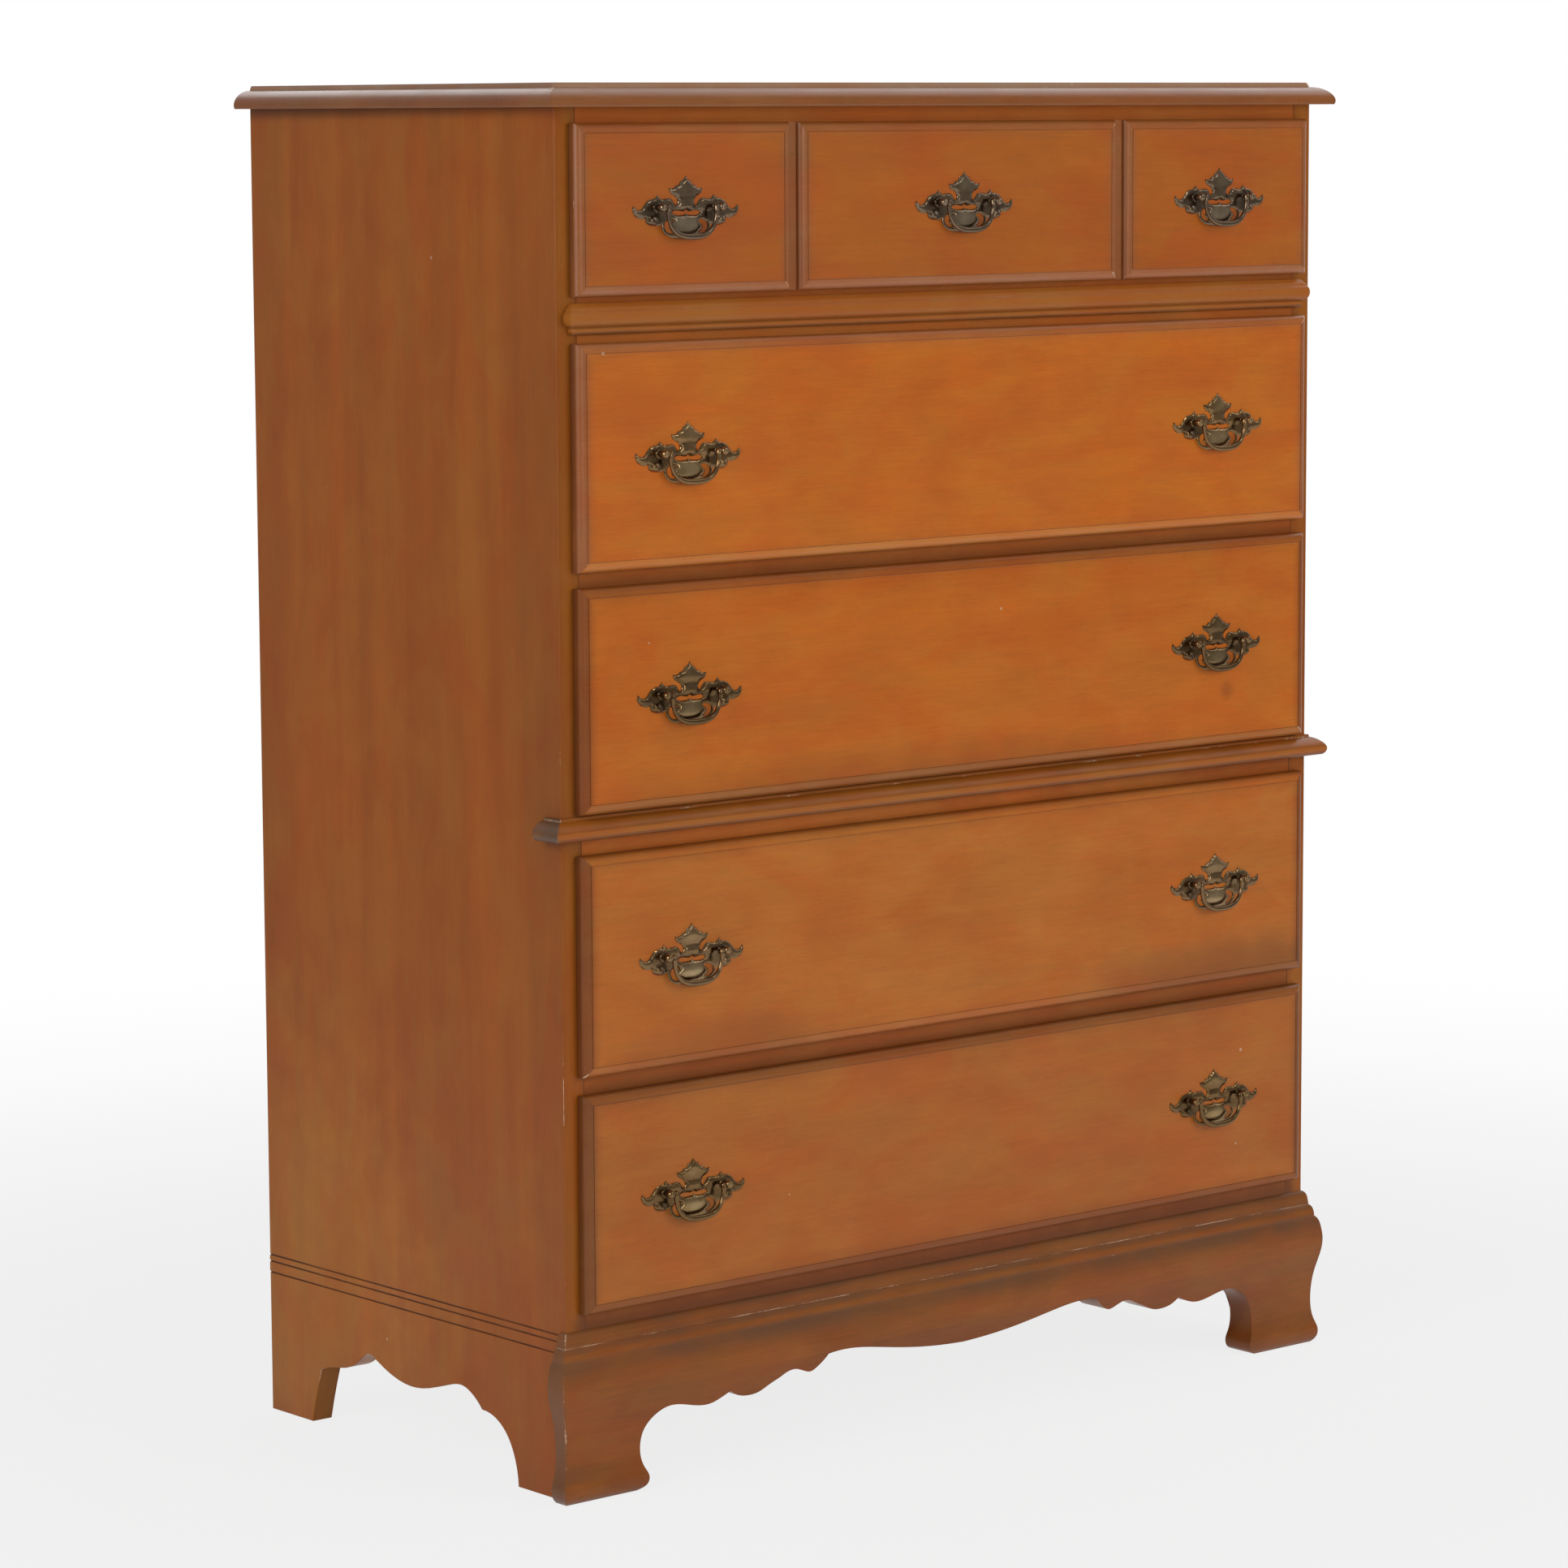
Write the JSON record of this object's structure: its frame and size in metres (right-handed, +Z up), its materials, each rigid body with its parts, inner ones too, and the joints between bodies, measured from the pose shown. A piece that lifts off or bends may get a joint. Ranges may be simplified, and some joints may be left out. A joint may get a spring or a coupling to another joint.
{
  "type": "chest of drawers",
  "caption": "Tall chest of drawers in stained maple: moulded top, lipped drawer fronts, applied mouldings, scalloped bracket base and brass bail pulls; drawers slide, bails swing.",
  "frame": {"origin": "centre of the whole part's footprint, on the floor", "axes": "+Z up, +X to the right of someone facing the drawers, +Y to the back"},
  "size_m": [0.921, 0.4596, 1.1913],
  "materials": {
    "case_wood": "satin brown stain on maple",
    "front_wood": "satin orange-brown stain on maple",
    "rail_wood": "satin dark stain on maple",
    "inner_wood": "bare planed hardwood",
    "back_ply": "bare thin plywood",
    "antique_brass": "lacquered antique brass",
    "steel": "plain steel"
  },
  "bodies": {
    "case": {"top_panel": "case_wood", "left_side": "case_wood", "right_side": "case_wood", "back_panel": "back_ply", "top_rail": "rail_wood", "divider_rails": "rail_wood", "bottom_rail": "rail_wood", "bead_moulding": "rail_wood", "waist_moulding": "rail_wood", "base_front": "case_wood", "drawer_runners": "inner_wood", "rear_rails": "inner_wood", "glue_blocks": "inner_wood", "back_panel_nails": "steel"},
    "drawer_5": {"drawer_5_front": "front_wood", "drawer_5_left_side": "inner_wood", "drawer_5_right_side": "inner_wood", "drawer_5_bottom": "back_ply", "drawer_5_back": "inner_wood", "drawer_5_plates": "antique_brass", "drawer_5_posts": "antique_brass"},
    "drawer_5_bail_left": {"drawer_5_bail_left": "antique_brass"},
    "drawer_5_bail_right": {"drawer_5_bail_right": "antique_brass"},
    "drawer_4": {"drawer_4_front": "front_wood", "drawer_4_left_side": "inner_wood", "drawer_4_right_side": "inner_wood", "drawer_4_bottom": "back_ply", "drawer_4_back": "inner_wood", "drawer_4_plates": "antique_brass", "drawer_4_posts": "antique_brass"},
    "drawer_4_bail_left": {"drawer_4_bail_left": "antique_brass"},
    "drawer_4_bail_right": {"drawer_4_bail_right": "antique_brass"},
    "drawer_3": {"drawer_3_front": "front_wood", "drawer_3_left_side": "inner_wood", "drawer_3_right_side": "inner_wood", "drawer_3_bottom": "back_ply", "drawer_3_back": "inner_wood", "drawer_3_plates": "antique_brass", "drawer_3_posts": "antique_brass"},
    "drawer_3_bail_left": {"drawer_3_bail_left": "antique_brass"},
    "drawer_3_bail_right": {"drawer_3_bail_right": "antique_brass"},
    "drawer_2": {"drawer_2_front": "front_wood", "drawer_2_left_side": "inner_wood", "drawer_2_right_side": "inner_wood", "drawer_2_bottom": "back_ply", "drawer_2_back": "inner_wood", "drawer_2_plates": "antique_brass", "drawer_2_posts": "antique_brass"},
    "drawer_2_bail_left": {"drawer_2_bail_left": "antique_brass"},
    "drawer_2_bail_right": {"drawer_2_bail_right": "antique_brass"},
    "drawer_1": {"drawer_1_front": "front_wood", "drawer_1_left_side": "inner_wood", "drawer_1_right_side": "inner_wood", "drawer_1_bottom": "back_ply", "drawer_1_back": "inner_wood", "drawer_1_plates": "antique_brass", "drawer_1_posts": "antique_brass"},
    "drawer_1_bail_left": {"drawer_1_bail_left": "antique_brass"},
    "drawer_1_bail_middle": {"drawer_1_bail_middle": "antique_brass"},
    "drawer_1_bail_right": {"drawer_1_bail_right": "antique_brass"}
  },
  "joints": [
    {"name": "drawer_5_slide", "type": "slide", "parent": "case", "child": "drawer_5", "axis": [0, -1, 0], "range_m": [0, 0.3]},
    {"name": "drawer_5_bail_left_swing", "type": "hinge", "parent": "drawer_5", "child": "drawer_5_bail_left", "pos_m": [-0.3135, -0.2262, 0.25525], "axis": [-1, 0, 0], "range_deg": [-8, 100]},
    {"name": "drawer_5_bail_right_swing", "type": "hinge", "parent": "drawer_5", "child": "drawer_5_bail_right", "pos_m": [0.3135, -0.2262, 0.25525], "axis": [-1, 0, 0], "range_deg": [-8, 100]},
    {"name": "drawer_4_slide", "type": "slide", "parent": "case", "child": "drawer_4", "axis": [0, -1, 0], "range_m": [0, 0.3]},
    {"name": "drawer_4_bail_left_swing", "type": "hinge", "parent": "drawer_4", "child": "drawer_4_bail_left", "pos_m": [-0.3135, -0.2262, 0.45825], "axis": [-1, 0, 0], "range_deg": [-8, 100]},
    {"name": "drawer_4_bail_right_swing", "type": "hinge", "parent": "drawer_4", "child": "drawer_4_bail_right", "pos_m": [0.3135, -0.2262, 0.45825], "axis": [-1, 0, 0], "range_deg": [-8, 100]},
    {"name": "drawer_3_slide", "type": "slide", "parent": "case", "child": "drawer_3", "axis": [0, -1, 0], "range_m": [0, 0.3]},
    {"name": "drawer_3_bail_left_swing", "type": "hinge", "parent": "drawer_3", "child": "drawer_3_bail_left", "pos_m": [-0.3135, -0.2262, 0.68125], "axis": [-1, 0, 0], "range_deg": [-8, 100]},
    {"name": "drawer_3_bail_right_swing", "type": "hinge", "parent": "drawer_3", "child": "drawer_3_bail_right", "pos_m": [0.3135, -0.2262, 0.68125], "axis": [-1, 0, 0], "range_deg": [-8, 100]},
    {"name": "drawer_2_slide", "type": "slide", "parent": "case", "child": "drawer_2", "axis": [0, -1, 0], "range_m": [0, 0.3]},
    {"name": "drawer_2_bail_left_swing", "type": "hinge", "parent": "drawer_2", "child": "drawer_2_bail_left", "pos_m": [-0.3135, -0.2262, 0.88375], "axis": [-1, 0, 0], "range_deg": [-8, 100]},
    {"name": "drawer_2_bail_right_swing", "type": "hinge", "parent": "drawer_2", "child": "drawer_2_bail_right", "pos_m": [0.3135, -0.2262, 0.88375], "axis": [-1, 0, 0], "range_deg": [-8, 100]},
    {"name": "drawer_1_slide", "type": "slide", "parent": "case", "child": "drawer_1", "axis": [0, -1, 0], "range_m": [0, 0.3]},
    {"name": "drawer_1_bail_left_swing", "type": "hinge", "parent": "drawer_1", "child": "drawer_1_bail_left", "pos_m": [-0.3141, -0.2262, 1.08815], "axis": [-1, 0, 0], "range_deg": [-8, 100]},
    {"name": "drawer_1_bail_middle_swing", "type": "hinge", "parent": "drawer_1", "child": "drawer_1_bail_middle", "pos_m": [0, -0.2262, 1.08815], "axis": [-1, 0, 0], "range_deg": [-8, 100]},
    {"name": "drawer_1_bail_right_swing", "type": "hinge", "parent": "drawer_1", "child": "drawer_1_bail_right", "pos_m": [0.3141, -0.2262, 1.08815], "axis": [-1, 0, 0], "range_deg": [-8, 100]}
  ]
}
